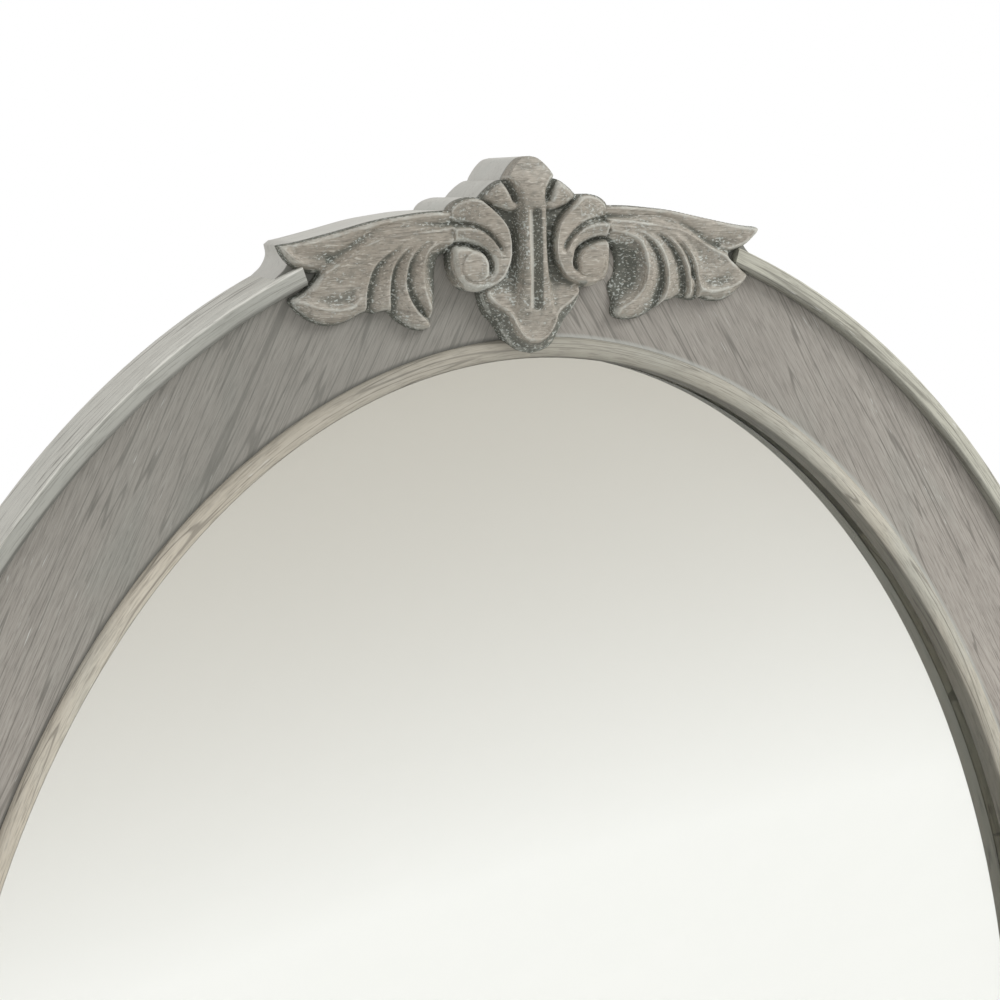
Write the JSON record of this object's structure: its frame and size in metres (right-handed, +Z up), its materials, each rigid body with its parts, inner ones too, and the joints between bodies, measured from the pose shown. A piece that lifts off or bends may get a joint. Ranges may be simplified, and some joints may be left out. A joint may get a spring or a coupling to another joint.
{
  "type": "oval wall mirror",
  "caption": "Oval wall mirror in a deep limed oak frame with a carved acanthus crest, backboard, turn buttons and swinging hanger rings.",
  "frame": {"origin": "bottom centre of the whole object: below the lowest point of the oval, in the middle of its width and of its depth, carving included", "axes": "+Z up along the oval's long axis, +X to the right as seen from the front, the mirror looks to -Y and its back is towards +Y"},
  "size_m": [0.6, 0.049, 0.8765],
  "materials": {
    "oak_board": "weathered and limed, matt",
    "oak_moulding": "weathered and limed along the curve, matt",
    "oak_carving": "carved, stained and limed, matt",
    "dowel_beech": "plain",
    "mirror_glass": "clear, polished",
    "silver_coat": "silver coat with a painted back",
    "hardboard": "smooth brown hardboard",
    "cork": "cork",
    "zinc_steel": "zinc plated",
    "screw_steel": "zinc plated"
  },
  "bodies": {
    "root": {"frame_upper_left": "oak_board", "frame_upper_right": "oak_board", "frame_lower_left": "oak_board", "frame_lower_right": "oak_board", "frame_dowels": "dowel_beech", "crest_dowels": "dowel_beech", "edge_band_left": "oak_moulding", "edge_band_right": "oak_moulding", "lip_left": "oak_moulding", "lip_right": "oak_moulding", "mirror_glass": "mirror_glass", "silver_backing": "silver_coat", "setting_blocks": "cork", "backboard": "hardboard", "turn_button_screws": "screw_steel", "hanger_strap_left": "zinc_steel", "hanger_strap_right": "zinc_steel", "hanger_screws": "screw_steel", "crest_block": "oak_carving", "crest_cartouche": "oak_carving", "crest_wing_left": "oak_carving", "crest_wing_right": "oak_carving"},
    "turn_button_1": {"turn_button_1": "zinc_steel"},
    "turn_button_2": {"turn_button_2": "zinc_steel"},
    "turn_button_3": {"turn_button_3": "zinc_steel"},
    "turn_button_4": {"turn_button_4": "zinc_steel"},
    "turn_button_5": {"turn_button_5": "zinc_steel"},
    "turn_button_6": {"turn_button_6": "zinc_steel"},
    "turn_button_7": {"turn_button_7": "zinc_steel"},
    "turn_button_8": {"turn_button_8": "zinc_steel"},
    "hanger_ring_left": {"hanger_ring_left": "zinc_steel"},
    "hanger_ring_right": {"hanger_ring_right": "zinc_steel"}
  },
  "joints": [
    {"name": "turn_button_1_swing", "type": "hinge", "parent": "root", "child": "turn_button_1", "pos_m": [0.09852, 0.00905, 0.79246], "axis": [0, 1, 0], "range_deg": [-90, 90]},
    {"name": "turn_button_2_swing", "type": "hinge", "parent": "root", "child": "turn_button_2", "pos_m": [0.25725, 0.00905, 0.5105], "axis": [0, 1, 0], "range_deg": [-90, 90]},
    {"name": "turn_button_3_swing", "type": "hinge", "parent": "root", "child": "turn_button_3", "pos_m": [0.25725, 0.00905, 0.3475], "axis": [0, 1, 0], "range_deg": [-90, 90]},
    {"name": "turn_button_4_swing", "type": "hinge", "parent": "root", "child": "turn_button_4", "pos_m": [0.09852, 0.00905, 0.06554], "axis": [0, 1, 0], "range_deg": [-90, 90]},
    {"name": "turn_button_5_swing", "type": "hinge", "parent": "root", "child": "turn_button_5", "pos_m": [-0.09852, 0.00905, 0.06554], "axis": [0, 1, 0], "range_deg": [-90, 90]},
    {"name": "turn_button_6_swing", "type": "hinge", "parent": "root", "child": "turn_button_6", "pos_m": [-0.25725, 0.00905, 0.3475], "axis": [0, 1, 0], "range_deg": [-90, 90]},
    {"name": "turn_button_7_swing", "type": "hinge", "parent": "root", "child": "turn_button_7", "pos_m": [-0.25725, 0.00905, 0.5105], "axis": [0, 1, 0], "range_deg": [-90, 90]},
    {"name": "turn_button_8_swing", "type": "hinge", "parent": "root", "child": "turn_button_8", "pos_m": [-0.09852, 0.00905, 0.79246], "axis": [0, 1, 0], "range_deg": [-90, 90]},
    {"name": "hanger_ring_left_swing", "type": "hinge", "parent": "root", "child": "hanger_ring_left", "pos_m": [-0.2053, 0.0117, 0.68419], "axis": [0.8701, 0, -0.4929], "range_deg": [0, 180]},
    {"name": "hanger_ring_right_swing", "type": "hinge", "parent": "root", "child": "hanger_ring_right", "pos_m": [0.2053, 0.0117, 0.68419], "axis": [0.8701, 0, 0.4929], "range_deg": [0, 180]}
  ]
}
